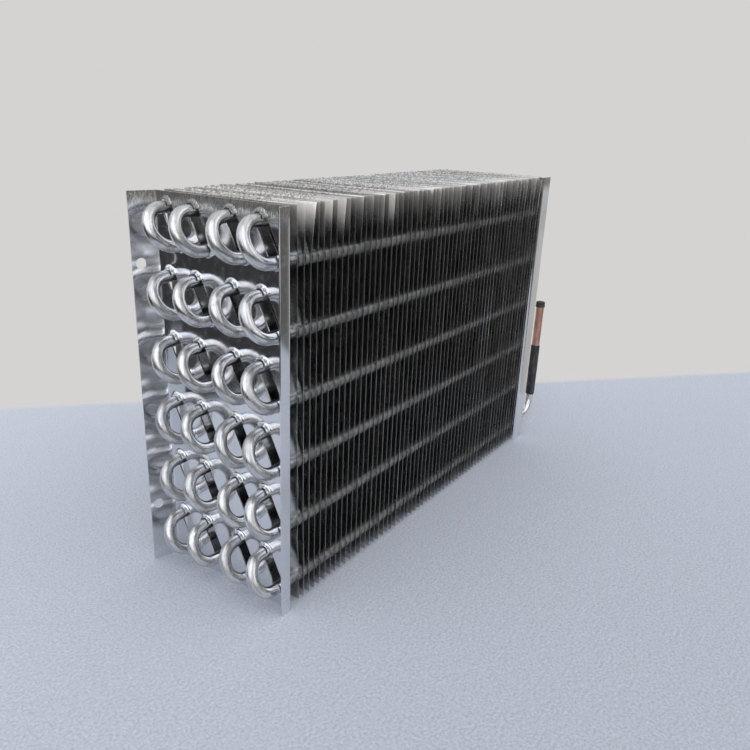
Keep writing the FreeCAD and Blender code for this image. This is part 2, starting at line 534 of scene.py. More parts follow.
class Recipe(Nodes):
    """Node tree of one material, read in object coordinates."""

    def __init__(self, name: str) -> None:
        """Start a material.

        Args:
            name: the material's name.
        """
        self.material = bpy.data.materials.new(name)
        super().__init__(self.material, "ShaderNodeOutputMaterial")
        self.coords = self.node("ShaderNodeTexCoord").outputs["Object"]

    def cloud(self, mapping: bpy.types.Node, detail: float, rough: float) -> Shade:
        """Noise on mapped coordinates.

        Args:
            mapping: node that gives the coordinates.
            detail: octaves of the noise.
            rough: share that each octave keeps of the one before.

        Returns:
            The noise.
        """
        node = self.node("ShaderNodeTexNoise", inputs={
            "Vector": mapping.outputs["Vector"], "Scale": 1.0,
            "Detail": detail, "Roughness": rough})
        return Shade(self.tree, node.outputs["Fac"])

    def noise(self, scale: Triple, detail: float = 3.0, rough: float = 0.5) -> Shade:
        """Noise with a scale for each axis, in waves per metre."""
        scaled = self.node("ShaderNodeMapping", inputs={"Vector": self.coords, "Scale": scale})
        return self.cloud(scaled, detail, rough)

    def streaks(self, tilt: float, along: float, across: float) -> Shade:
        """Noise drawn out into lines that keep to upright planes turned by a tilt about the X axis.

        Args:
            tilt: the planes' turn from the upright, in radians.
            along: waves per metre in the planes.
            across: waves per metre across the planes.

        Returns:
            The noise.
        """
        turned = self.node("ShaderNodeMapping", {"vector_type": "TEXTURE"}, {
            "Vector": self.coords, "Rotation": (-tilt, 0.0, 0.0),
            "Scale": (1.0 / along, 1.0 / across, 1.0 / along)})
        return self.cloud(turned, 2.0, 0.6)

    def axis(self, name: str) -> Shade:
        """One object coordinate: X, Y or Z."""
        return self.parts(self.coords)["XYZ".index(name)]

    def bump(self, height: Shade, strength: float, distance: float) -> Socket:
        """Normal from a height.

        Args:
            height: the relief.
            strength: how much the relief counts.
            distance: height of the relief, in metres.

        Returns:
            The normal.
        """
        node = self.node("ShaderNodeBump", inputs={
            "Height": height, "Strength": strength, "Distance": distance})
        return node.outputs["Normal"]

    def finish(self, **sockets: object) -> Finish:
        """Principled surface with the given sockets, joined to the output.

        Args:
            **sockets: values or links of its sockets, with underscores for spaces.

        Returns:
            The material.
        """
        names = {key.replace("_", " "): value for key, value in sockets.items()}
        self.close(self.node("ShaderNodeBsdfPrincipled", inputs=names))
        return self.material


def floor_axes(x: Shade, y: Shade, angle: float) -> tuple[Shade, Shade]:
    """Level coordinates turned by an angle.

    Args:
        x: the coordinate along X.
        y: the coordinate along Y.
        angle: turn of the first axis from X.

    Returns:
        The coordinate along the turned axis, and the one to the right of it.
    """
    ahead = x * math.cos(angle) + y * math.sin(angle)
    aside = x * math.sin(angle) - y * math.cos(angle)
    return ahead, aside


@dataclass(frozen=True)
class PolishedSheet:
    """Bright rolled aluminium of the end plates."""

    colour: Triple = (0.80, 0.81, 0.83)
    smudge: Triple = (0.66, 0.66, 0.66)
    scratch: Triple = (0.17, 0.158, 0.130)
    scratched_from: float = 252.0 * MM
    scratched_to: float = 263.0 * MM
    unevenness: float = 14.0 * MM
    roughness: float = 0.10

    def build(self) -> Finish:
        """Material with smudges, upright roll lines, a slow waviness and scratches near the top.

        Returns:
            The material.
        """
        recipe = Recipe("polished_sheet")
        smudges = recipe.noise((22, 22, 22), 4.0, 0.6).ramp(0.45, 0.75)
        lines = recipe.noise((900, 900, 14), 2.0, 0.6)
        waves = recipe.noise((26, 26, 18), 1.0, 0.4)
        uneven = recipe.noise((60, 60, 60), 3.0, 0.6)
        height = recipe.axis("Z") + (uneven - 0.5) * self.unevenness
        near_top = height.ramp(self.scratched_from, self.scratched_to)
        rubbed = recipe.noise((1500, 1500, 300), 3.0, 0.65).ramp(0.42, 0.56)
        scratches = near_top * (rubbed * 0.45 + 0.5)
        dust = recipe.noise((240, 240, 240), 5.0, 0.7).ramp(0.50, 0.74)
        roughness = smudges * 0.10 + lines * 0.06 + scratches * 0.25 + self.roughness - 0.03
        relief = waves * 1.0 + lines * 0.02 + scratches * 0.10
        rolled = recipe.mix(smudges * 0.6, self.colour, self.smudge)
        return recipe.finish(
            Base_Color=recipe.mix(scratches, rolled, self.scratch),
            Metallic=1.0 - scratches * 0.35 - dust * 0.12, Roughness=roughness,
            Normal=recipe.bump(relief, 0.35, 0.6 * MM))


@dataclass(frozen=True)
class DrawnTube:
    """Drawn aluminium tube with light scuffs."""

    colour: Triple = (0.80, 0.80, 0.80)
    scuff: Triple = (0.40, 0.40, 0.40)
    roughness: float = 0.19
    slant: float = math.radians(27.0)
    streaks_end: float = 350.0 * MM
    streaks_fade: float = 4.0 * MM

    def build(self) -> Finish:
        """Material with lines drawn along the tube, scuffs and small dents.

        Returns:
            The material.
        """
        recipe = Recipe("drawn_tube")
        scuffs = recipe.noise((210, 210, 210), 5.0, 0.7).ramp(0.47, 0.72)
        near = 1.0 - recipe.axis("X").ramp(self.streaks_end, self.streaks_end + self.streaks_fade)
        drawn = recipe.streaks(self.slant, 30.0, 750.0).ramp(0.38, 0.62) * near
        fine = recipe.streaks(self.slant, 110.0, 1900.0).ramp(0.40, 0.60) * near
        dents = recipe.noise((75, 75, 75), 2.0, 0.5)
        worn = (scuffs * 0.40 + drawn * 0.50 + fine * 0.25).clamp()
        roughness = scuffs * 0.14 + drawn * 0.16 + self.roughness
        height = dents * 1.0 + drawn * 0.16 + fine * 0.05 + scuffs * 0.06
        return recipe.finish(
            Base_Color=recipe.mix(worn, self.colour, self.scuff),
            Metallic=1.0, Roughness=roughness, Normal=recipe.bump(height, 0.35, 0.6 * MM))


@dataclass(frozen=True)
class FinFoil:
    """Thin fin stock, duller than the plates."""

    colour: Triple = (0.56, 0.56, 0.56)
    stain: Triple = (0.38, 0.37, 0.35)
    # Colour of the dull top band; on the paler fins it is painted light on their tops
    dull_top_and_painted_light: Triple = (0.46, 0.435, 0.405)
    notch: Triple = (0.13, 0.13, 0.13)
    # Pale colour along the fins' top edge: a painted highlight where the crest catches light from
    # above
    painted_crest: Triple = (0.80, 0.77, 0.71)
    roughness: float = 0.20
    dull_from: float = 244.0 * MM
    dull_to: float = 272.0 * MM
    unevenness: float = 36.0 * MM
    ragged_from: float = 263.2 * MM
    ragged_to: float = 265.6 * MM
    painted_crest_from: float = 265.9 * MM
    painted_crest_to: float = 266.4 * MM
    sheared_from: float = 54.75 * MM
    sheared_to: float = 55.15 * MM
    metal_share: float = 0.70
    name: str = "fin_foil"

    def build(self) -> Finish:
        """Material with cloudy stains and level roll lines, dulled near the top, with a painted
        highlight along the crest.

        Returns:
            The material.
        """
        recipe = Recipe(self.name)
        stains = recipe.noise((300, 40, 40), 4.0, 0.6).ramp(0.40, 0.75)
        lines = recipe.noise((300, 24, 900), 2.0, 0.6)
        waves = recipe.noise((500, 60, 60), 1.0, 0.5)
        uneven = recipe.noise((170, 5, 20), 2.0, 0.5)
        height = recipe.axis("Z")
        dull = (height + (uneven - 0.5) * self.unevenness).ramp(self.dull_from, self.dull_to)
        nicks = recipe.noise((350, 480, 420), 3.0, 0.65).ramp(0.42, 0.60)
        inside = recipe.axis("Y").ramp(-0.9 * self.sheared_to, -0.4 * self.sheared_to) * 0.50 + 0.15
        notched = height.ramp(self.ragged_from, self.ragged_to) * nicks * inside
        sheared = recipe.axis("Y").math("ABSOLUTE").ramp(self.sheared_from, self.sheared_to) * 0.25
        roughness = stains * 0.15 + lines * 0.05 + dull * 0.25 + self.roughness - 0.04
        foil = recipe.mix(stains, self.colour, self.stain)
        dull_and_lit_top_foil = recipe.mix(dull.math("MAXIMUM", sheared), foil, self.dull_top_and_painted_light)
        # Painted highlight: the crest is made pale where it catches light from above
        with_painted_crest = recipe.mix(height.ramp(self.painted_crest_from, self.painted_crest_to), dull_and_lit_top_foil, self.painted_crest)
        return recipe.finish(
            Base_Color=recipe.mix(notched, with_painted_crest, self.notch),
            Metallic=1.0 - (dull * (1.0 - self.metal_share)).math("MAXIMUM", sheared * 0.6),
            Roughness=roughness, Normal=recipe.bump(waves + lines * 0.015, 0.3, 0.4 * MM))


@dataclass(frozen=True)
class FinCollar:
    """Drawn lips of the fins, paler than the foil."""

    colour: Triple = (0.88, 0.88, 0.88)
    shade: Triple = (0.44, 0.44, 0.45)

    def build(self) -> Finish:
        """Material with a fine grain from the press.

        Returns:
            The material.
        """
        recipe = Recipe("fin_collar")
        grain = recipe.noise((900, 420, 420), 3.0, 0.65).ramp(0.38, 0.66)
        return recipe.finish(
            Base_Color=recipe.mix(grain, self.colour, self.shade),
            Metallic=0.60, Roughness=grain * 0.2 + 0.35, Normal=recipe.bump(grain, 0.2, 0.1 * MM))


@dataclass(frozen=True)
class TarnishedCopper:
    """Dull copper of the pipe ends."""

    colour: Triple = (0.74, 0.45, 0.36)
    tarnish: Triple = (0.52, 0.30, 0.23)

    def build(self) -> Finish:
        """Material with tarnish clouds and drawn lines.

        Returns:
            The material.
        """
        recipe = Recipe("tarnished_copper")
        clouds = recipe.noise((150, 150, 90), 4.0, 0.6).ramp(0.35, 0.7)
        lines = recipe.noise((900, 900, 30), 2.0, 0.5)
        return recipe.finish(
            Base_Color=recipe.mix(clouds, self.colour, self.tarnish),
            Metallic=0.9, Roughness=clouds * 0.15 + lines * 0.08 + 0.34,
            Normal=recipe.bump(lines, 0.1, 0.1 * MM))


@dataclass(frozen=True)
class ShrunkPlastic:
    """Black shrunk sleeve."""

    colour: Triple = (0.028, 0.028, 0.032)
    dust: Triple = (0.11, 0.11, 0.12)

    def build(self) -> Finish:
        """Material with faint dust and wrinkles.

        Returns:
            The material.
        """
        recipe = Recipe("shrunk_plastic")
        dust = recipe.noise((260, 260, 120), 4.0, 0.6).ramp(0.45, 0.75)
        wrinkles = recipe.noise((500, 500, 180), 2.0, 0.5)
        return recipe.finish(
            Base_Color=recipe.mix(dust * 0.6, self.colour, self.dust),
            Roughness=dust * 0.2 + 0.38, Normal=recipe.bump(wrinkles, 0.3, 0.2 * MM))


@dataclass(frozen=True)
class CapRubber:
    """Dark rubber of the pipe caps."""

    colour: Triple = (0.028, 0.024, 0.024)
    worn: Triple = (0.07, 0.065, 0.06)

    def build(self) -> Finish:
        """Material with a fine matt grain.

        Returns:
            The material.
        """
        recipe = Recipe("cap_rubber")
        grain = recipe.noise((1400, 1400, 1400), 2.0, 0.6)
        wear = recipe.noise((400, 400, 400), 3.0, 0.5).ramp(0.45, 0.7)
        return recipe.finish(
            Base_Color=recipe.mix(wear, self.colour, self.worn),
            Roughness=grain * 0.15 + 0.55, Normal=recipe.bump(grain, 0.2, 0.1 * MM))


def dress(piece: Piece, material: Finish) -> None:
    """Give a piece one material."""
    piece.data.materials.clear()
    piece.data.materials.append(material)


def hand_in(piece: Piece, slot: Slot, *nodes: str) -> None:
    """Fix a piece to the body and hide the nodes of the frame that it stands for.

    Args:
        piece: the piece.
        slot: its material slot; not used.
        *nodes: the nodes of the frame that it stands for.
    """
    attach(piece, ROOT)
    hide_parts(*nodes)
    LOG.info("%s: %d faces", piece.name, len(piece.data.polygons))


# Sub-assemblies

# With no window, a spin turns the other way than a rotation matrix does
SPIN_SIGN = -1.0


@dataclass
class TubeRun:
    """Continuous tube, drawn as a ring that is pushed along legs and round bends."""

    name: str
    radius: float
    segments: int = 20
    bend_steps: int = 14
    heading: Vector | None = None
    place: Vector | None = None
    piece: Piece | None = None

    def begin(self, place: Vector, heading: Vector) -> None:
        """Start with a ring at a place, facing a heading.

        Args:
            place: middle of the ring.
            heading: direction that it faces.
        """
        deselect()
        turn = heading.to_track_quat("Z", "Y").to_euler()
        bpy.ops.mesh.primitive_circle_add(
            vertices=self.segments, radius=self.radius, fill_type="NGON",
            location=place, rotation=turn)
        self.piece = settle(self.name)
        self.place = place.copy()
        self.heading = heading.copy()
        edit(self.piece, "FACE", "SELECT")
        bpy.ops.mesh.duplicate()

    def straight(self, length: float) -> None:
        """Push the ring straight ahead.

        Args:
            length: how far it goes.
        """
        step = self.heading * length
        bpy.ops.mesh.extrude_region_move(TRANSFORM_OT_translate={"value": step})
        self.place = self.place + step

    def taper(self, length: float, radius: float) -> None:
        """Push the ring ahead and change its radius.

        Args:
            length: how far it goes.
            radius: the new radius.
        """
        self.straight(length)
        share = radius / self.radius
        bpy.ops.transform.resize(value=(share, share, share), center_override=self.place)
        self.radius = radius

    def turn(self, centre: Vector, angle: float, steps: int) -> None:
        """Swing the ring about a centre.

        Args:
            centre: middle of the bend.
            angle: angle swung, in radians.
            steps: rings along the bend.
        """
        arm = self.place - centre
        axis = arm.cross(self.heading).normalized()
        bpy.ops.mesh.spin(steps=steps, angle=SPIN_SIGN * angle, center=centre, axis=axis,
                          use_auto_merge=False)
        swing = Matrix.Rotation(angle, 3, axis)
        self.place = centre + swing @ arm
        self.heading = swing @ self.heading

    def end(self) -> Piece:
        """Close the mesh and return the piece.

        Returns:
            The piece.
        """
        leave()
        recalculate(self.piece)
        smooth(self.piece)
        return self.piece


@dataclass
class Coil:
    """Four upright serpentines of tube."""

    layout: Layout
    tail_reach: float = 56.0 * MM
    tail_bend: float = 18.0 * MM
    tail_steps: int = 10
    riser: float = 29.0 * MM
    socket_end: float = 12.0 * MM
    socket_gap: float = 0.4 * MM
    socket_wall: float = 0.85 * MM
    socket_lip: float = 0.3 * MM
    neck: float = 2.0 * MM

    def column(self, column: int) -> Piece:
        """One column's serpentine, from its lower end to its upper end.

        Args:
            column: the column's number, from 0 at the back.

        Returns:
            The piece.
        """
        lay = self.layout
        has_tail = column in (0, len(lay.columns) - 1)
        out = Vector((1.0, 0.0, 0.0))
        up = Vector((0.0, 0.0, 1.0))
        last = lay.rows - 1
        near_turn = lay.near_x - lay.sheet / 2 - lay.near_straight
        far_turn = lay.far_x + lay.sheet / 2 + lay.far_straight
        end_x = lay.far_x + lay.sheet / 2 + self.socket_end
        lower = lay.leg(last, column, -1)
        run = TubeRun("coil_column_%d_tube" % (column + 1), lay.tube_radius)
        if has_tail:
            tail_x = lay.far_x + self.tail_reach
            foot = Vector((tail_x, lower.y, lower.z + self.tail_bend))
            run.begin(foot + up * self.riser, -up)
            run.straight(self.riser)
            run.turn(foot - out * self.tail_bend, math.pi / 2, self.tail_steps)
            start_x = tail_x - self.tail_bend
        else:
            start_x = end_x
            run.begin(at_x(start_x, lower), -out)
        for row in range(last, -1, -1):
            run.straight(start_x - near_turn)
            run.turn(at_x(near_turn, lay.slot_middle(row, column)), math.pi, run.bend_steps)
            start_x = end_x if row == 0 else far_turn
            run.straight(start_x - near_turn)
            if row > 0:
                centre = (lay.leg(row, column, 1) + lay.leg(row - 1, column, -1)) / 2
                run.turn(at_x(far_turn, centre), math.pi, run.bend_steps)
        return run.end()

    def crossover(self, name: str, first: Vector, second: Vector) -> Piece:
        """Return bend whose belled sockets slide over two column ends.

        Args:
            name: its node's name.
            first: leg where it starts.
            second: leg where it ends.

        Returns:
            The bend.
        """
        lay = self.layout
        face = lay.far_x + lay.sheet / 2
        start_x = face + lay.collar_height + self.socket_gap
        bell = lay.tube_radius + self.socket_wall
        socket = self.socket_end - lay.collar_height - self.socket_gap
        turn_x = face + self.socket_end + self.neck
        run = TubeRun(name + "_bend", bell - self.socket_lip)
        run.begin(at_x(start_x, first), Vector((1.0, 0.0, 0.0)))
        run.taper(self.socket_lip, bell)
        run.straight(socket - self.socket_lip)
        run.taper(self.neck / 2, lay.tube_radius)
        run.straight(self.neck / 2)
        run.turn(at_x(turn_x, (first + second) / 2), math.pi, run.bend_steps)
        run.straight(self.neck / 2)
        run.taper(self.neck / 2, bell)
        run.straight(socket - self.socket_lip)
        run.taper(self.socket_lip, bell - self.socket_lip)
        return run.end()

    def build(self, material: Finish) -> None:
        """Build and dress all columns and the bends that join them.

        Args:
            material: finish of the tube.
        """
        lay = self.layout
        for column in range(len(lay.columns)):
            piece = self.column(column)
            dress(piece, material)
            hand_in(piece, Slot.TUBE, "coil_column_%d" % (column + 1))
        last = lay.rows - 1
        ends = {
            "crossover_back": (0, 0, 1),
            "crossover_middle": (last, 1, -1),
            "crossover_front": (0, 2, 1),
        }
        for name, (row, column, end) in ends.items():
            piece = self.crossover(name, lay.leg(row, column, end), lay.leg(row, column + 1, end))
            dress(piece, material)
            hand_in(piece, Slot.TUBE, name)


@dataclass
class PipeTail:
    """Black sleeve, copper pipe and rubber cap on one riser."""

    layout: Layout
    side: str
    column: int
    reach: float = 56.0 * MM
    bend_radius: float = 18.0 * MM
    sleeve_start: float = 1.0 * MM
    sleeve_length: float = 56.0 * MM
    sleeve_radius: float = 4.75 * MM
    joint_height: float = 28.0 * MM
    copper_length: float = 46.0 * MM
    cap_grip: float = 4.0 * MM
    cap_top: float = 1.6 * MM
    cap_radius: float = 4.85 * MM

    def foot(self, height: float) -> Vector:
        """Point on the riser's axis, at a height above the sleeve's lower end.

        Args:
            height: the height.

        Returns:
            The point.
        """
        lay = self.layout
        leg = lay.leg(lay.rows - 1, self.column, -1)
        sleeve_end = leg.z + self.bend_radius + self.sleeve_start
        return Vector((lay.far_x + self.reach, leg.y, sleeve_end + height))

    def turned(self, name: str, start: float, steps: Sequence[tuple[float, float]]) -> Piece:
        """Round piece from a list of lengths and the radii that they end with.

        Args:
            name: the piece's name.
            start: height of its lower end above the sleeve's lower end.
            steps: length and radius pairs; the first length is not used.

        Returns:
            The piece.
        """
        run = TubeRun(self.side + name, steps[0][1], segments=28)
        run.begin(self.foot(start), Vector((0.0, 0.0, 1.0)))
        for length, radius in steps[1:]:
            run.taper(length, radius)
        return run.end()

    def build(self, sleeve: Finish, copper: Finish, rubber: Finish) -> None:
        """Build and dress the sleeve, the pipe and the cap, each from its lower end up.

        Args:
            sleeve: finish of the sleeve.
            copper: finish of the pipe.
            rubber: finish of the cap.
        """
        tube = self.layout.tube_radius
        full = self.sleeve_radius
        collapse = 1.4 * MM
        body = self.sleeve_length - 2 * collapse
        joint = body * 0.5
        shrunk = self.turned("_sleeve_shrunk", 0.0, [
            (0.0, tube + 0.1 * MM), (0.25 * MM, tube + 0.4 * MM),
            (collapse - 0.25 * MM, full - 0.1 * MM), (joint - 3 * MM, full - 0.14 * MM),
            (3 * MM, full), (2 * MM, full), (3 * MM, full - 0.12 * MM),
            (body - joint - 5 * MM, full - 0.14 * MM),
            (collapse - 0.25 * MM, tube + 0.42 * MM), (0.25 * MM, tube + 0.1 * MM)])
        pipe = self.turned("_pipe_copper", self.joint_height, [
            (0.0, tube), (10 * MM, tube), (20 * MM, tube - 0.02 * MM), (15 * MM, tube),
            (self.sleeve_length + self.copper_length - self.joint_height - 45.4 * MM, tube),
            (0.4 * MM, tube - 0.35 * MM)])
        top = self.sleeve_length + self.copper_length
        lip = 0.35 * MM
        crown = self.cap_radius - 0.25 * MM
        capped = self.turned("_cap_rubber", top - self.cap_grip, [
            (0.0, crown), (0.2 * MM, self.cap_radius),
            (lip * 2, self.cap_radius), (0.3 * MM, crown),
            (self.cap_grip + self.cap_top - 2.0 * MM, crown - 0.05 * MM),
            (0.4 * MM, crown - 0.25 * MM), (0.25 * MM, crown - 0.7 * MM),
            (0.15 * MM, crown - 1.5 * MM)])
        pieces = ((shrunk, sleeve, Slot.SLEEVE, "_sleeve"), (pipe, copper, Slot.COPPER, "_pipe"),
                  (capped, rubber, Slot.RUBBER, "_cap"))
        for piece, material, slot, node in pieces:
            dress(piece, material)
            hand_in(piece, slot, self.side + node)


@dataclass
class EndPlate:
    """Pressed end plate, drawn with its web on the plane X = 0 and its flanges towards +X."""

    layout: Layout
    node: str
    web_x: float
    side: Side
    front_depth: float
    back_flare: float
    back_depth: float = 20.0 * MM
    bend_radius: float = 1.5 * MM
    hole_radius: float = 3.5 * MM
    hole_inset: float = 45.5 * MM
    hole_from_web: float = 14.0 * MM
    hole_sides: int = 32
    throat_width: float = 9.8 * MM
    collar_wall: float = 0.50 * MM
    collar_skirt: float = 1.8 * MM
    collar_clearance: float = 0.75 * MM
    lip_sides: int = 44
    lip_levels: tuple[float, ...] = (0.08, 0.18, 0.32, 0.55, 0.75, 0.9)
    lip_reach: float = 0.66
    lip_skew: float = 0.16
    lip_rag: float = 0.12
    rag_waves: float = 300.0
    root_share: float = 0.3
    root_flare: float = 0.75 * MM
    edge_round: float = 0.16 * MM
    lip_round: float = 0.12 * MM
    lip_sink: float = 0.1 * MM
    seed: int = 5

    def edge_y(self, side: int) -> float:
        """Where the web ends and a bend starts."""
        lay = self.layout
        return side * (lay.plate_width / 2 - self.bend_radius - lay.sheet / 2)

    def fold(self, sheet: Piece, side: int, depth: float, flare: float) -> None:
        """Bend one side of the sheet into a flange.

        Args:
            sheet: the flat web.
            side: -1 for the front and 1 for the back.
            depth: the flange's depth from the web.
            flare: how far short of square it is bent.
        """
        edge_y = self.edge_y(side)
        mesh = edit(sheet, "EDGE")
        for seam in mesh.edges:
            seam.select_set(all(abs(vert.co.y - edge_y) < 0.01 * MM for vert in seam.verts))
        bmesh.update_edit_mesh(sheet.data)
        turn = math.pi / 2 - flare
        bpy.ops.mesh.spin(steps=6, angle=SPIN_SIGN * turn, center=(self.bend_radius, edge_y, 0.0),
                          axis=(0.0, 0.0, -side), use_auto_merge=False)
        along = Vector((math.sin(turn), side * math.cos(turn), 0.0))
        flat = along * (depth - self.bend_radius)
        bpy.ops.mesh.extrude_region_move(TRANSFORM_OT_translate={"value": flat})
        leave()

    def screw_holes(self) -> Piece:
        """Cutters for the two holes of the back flange.

        Returns:
            The cutters, as one piece.
        """
        lay = self.layout
        turn = math.pi / 2 - self.back_flare
        along = Vector((math.sin(turn), math.cos(turn), 0.0))
        across = Vector((-along.y, along.x, 0.0))
        root = Vector((self.bend_radius * (1 - math.cos(turn)),
                       self.edge_y(1) + self.bend_radius * math.sin(turn), 0.0))
        place = root + along * (self.hole_from_web - self.bend_radius)
        cutters = []
        for height in (self.hole_inset, lay.plate_height - self.hole_inset):
            middle = place + Vector((0.0, 0.0, height))
            reach = across * (2 * lay.sheet)
            cutters.append(add_rod(
                "hole", middle - reach, middle + reach, self.hole_radius, self.hole_sides))
        return join("screw_holes", cutters)

    def throats(self) -> Piece:
        """Cutters for the straight middles of the slots.

        Returns:
            The cutters, as one piece.
        """
        lay = self.layout
        cutters = []
        for middle in lay.slots():
            upper, lower = lay.lobe_centres(middle)
            deselect()
            bpy.ops.mesh.primitive_cube_add(
                size=1.0, location=(upper + lower) / 2, rotation=(-lay.slant, 0.0, 0.0))
            length = (upper - lower).length
            bpy.context.active_object.scale = (4 * lay.sheet, self.throat_width, length)
            cutters.append(settle("throat"))
        return join("throats", cutters)

    def lobes(self) -> Piece:
        """Cutters for the round ends of the slots.

        Returns:
            The cutters, as one piece.
        """
        lay = self.layout
        reach = Vector((2 * lay.sheet, 0.0, 0.0))
        cutters = []
        for middle in lay.slots():
            for lobe in lay.lobe_centres(middle):
                cutters.append(add_rod(
                    "lobe", lobe - reach, lobe + reach, lay.lobe_radius, self.hole_sides))
        return join("lobes", cutters)

    def pressed_sheet(self) -> Piece:
        """Bent sheet with its slots and holes.

        Returns:
            The sheet.
        """
        lay = self.layout
        deselect()
        bpy.ops.mesh.primitive_plane_add(
            size=1.0, location=(0.0, 0.0, lay.plate_height / 2), rotation=(0.0, math.pi / 2, 0.0))
        bpy.context.active_object.scale = (lay.plate_height, 2 * self.edge_y(1), 1.0)
        sheet = settle(self.node + "_sheet")
        self.fold(sheet, -1, self.front_depth, 0.0)
        self.fold(sheet, 1, self.back_depth, self.back_flare)
        recalculate(sheet)
        thicken(sheet, lay.sheet)
        carve(sheet, self.throats())
        carve(sheet, self.lobes())
        carve(sheet, self.screw_holes())
        bevel_edges(sheet, self.edge_round)
        smooth(sheet, 20.0)
        finish_with(sheet, "WEIGHTED_NORMAL", weight=100, keep_sharp=True)
        return sheet

    def collar_blank(self) -> Piece:
        """Even lip round one lobe at the origin, open towards the throat.

        Returns:
            The lip.
        """
        lay = self.layout
        direction = lay.slot_direction()
        radius = lay.lobe_radius + self.collar_wall / 2
        rim = Vector((lay.collar_height, 0.0, 0.0))
        ring = add_rod("collar", Vector(), rim, radius, self.lip_sides, "NOTHING")
        edit(ring)
        for share in self.lip_levels:
            cut_across((share * lay.collar_height, 0, 0), (1, 0, 0))
        cut_across(direction * -self.collar_skirt, direction, clear=True)
        leave()
        thicken(ring, self.collar_wall)
        bevel_edges(ring, self.lip_round)
        return ring

    def draw_out(self, lip: Piece, leg: Vector, rng: random.Random) -> None:
        """Shape one lip: a rounded root, a rim drawn close to the tube and a ragged edge.

        Args:
            lip: the lip, still at the origin.
            leg: the tube's axis beside the lip.
            rng: the plate's own random numbers.
        """
        lay = self.layout
        direction = lay.slot_direction()
        phase = rng.uniform(0.0, 50.0)
        clearance = self.collar_clearance * rng.uniform(0.8, 1.3)
        rim_radius = lay.tube_radius + clearance + self.collar_wall / 2
        for vert in lip.data.vertices:
            radial = Vector((0.0, vert.co.y, vert.co.z))
            share = min(max(vert.co.x / lay.collar_height, 0.0), 1.0)
            upward = radial.normalized().dot(direction)
            spot = Vector((phase, radial.y * self.rag_waves, radial.z * self.rag_waves))
            ragged = noise.noise(spot)
            skew = self.lip_skew * (1.0 - max(upward, 0.0)) ** 2
            reach = self.lip_reach + skew + self.lip_rag * ragged
            root = self.root_flare * max(0.0, 1.0 - share / self.root_share) ** 2
            wall = radial.length - lay.lobe_radius - self.collar_wall / 2
            arm = radial - leg
            drawn_in = max(arm.length - wall - rim_radius, 0.0) * min(share * 1.6, 1.0) ** 0.8
            moved = radial - arm.normalized() * drawn_in + radial.normalized() * root
            vert.co = Vector((vert.co.x * min(reach, 1.0), moved.y, moved.z))

    def collars(self) -> list[Piece]:
        """Lips of all slots.

        Returns:
            The lips, each in its place.
        """
        lay = self.layout
        rng = random.Random(self.seed + self.side.value)
        blank = self.collar_blank()
        turned = Matrix.Rotation(math.pi, 4, "X")
        face = Vector((lay.sheet / 2 - self.lip_sink, 0.0, 0.0))
        lips = []
        for row in range(lay.rows):
            for column in range(len(lay.columns)):
                lobes = lay.lobe_centres(lay.slot_middle(row, column))
                for lobe, end, turn in zip(lobes, (1, -1), (Matrix.Identity(4), turned)):
                    leg = (lay.leg(row, column, end) - lobe) * end
                    lip = copy_of(blank, "lip")
                    self.draw_out(lip, leg, rng)
                    lip.data.transform(Matrix.Translation(lobe + face) @ turn)
                    lips.append(lip)
        bpy.data.objects.remove(blank)
        return lips

    def build(self, material: Finish) -> None:
        """Build, place and dress the plate.

        Args:
            material: finish of the sheet and its lips.
        """
        sheet = self.pressed_sheet()
        lips = join(self.node + "_lips", self.collars())
        smooth(lips, 50.0)
        plate = join(self.node + "_pressed", [sheet, lips])
        if self.side is Side.NEAR:
            plate.data.transform(Matrix.Scale(-1.0, 4, Vector((1.0, 0.0, 0.0))))
            edit(plate, action="SELECT")
            bpy.ops.mesh.flip_normals()
            leave()
        plate.data.transform(Matrix.Translation((self.web_x, 0.0, 0.0)))
        dress(plate, material)
        hand_in(plate, Slot.PLATE, self.node)


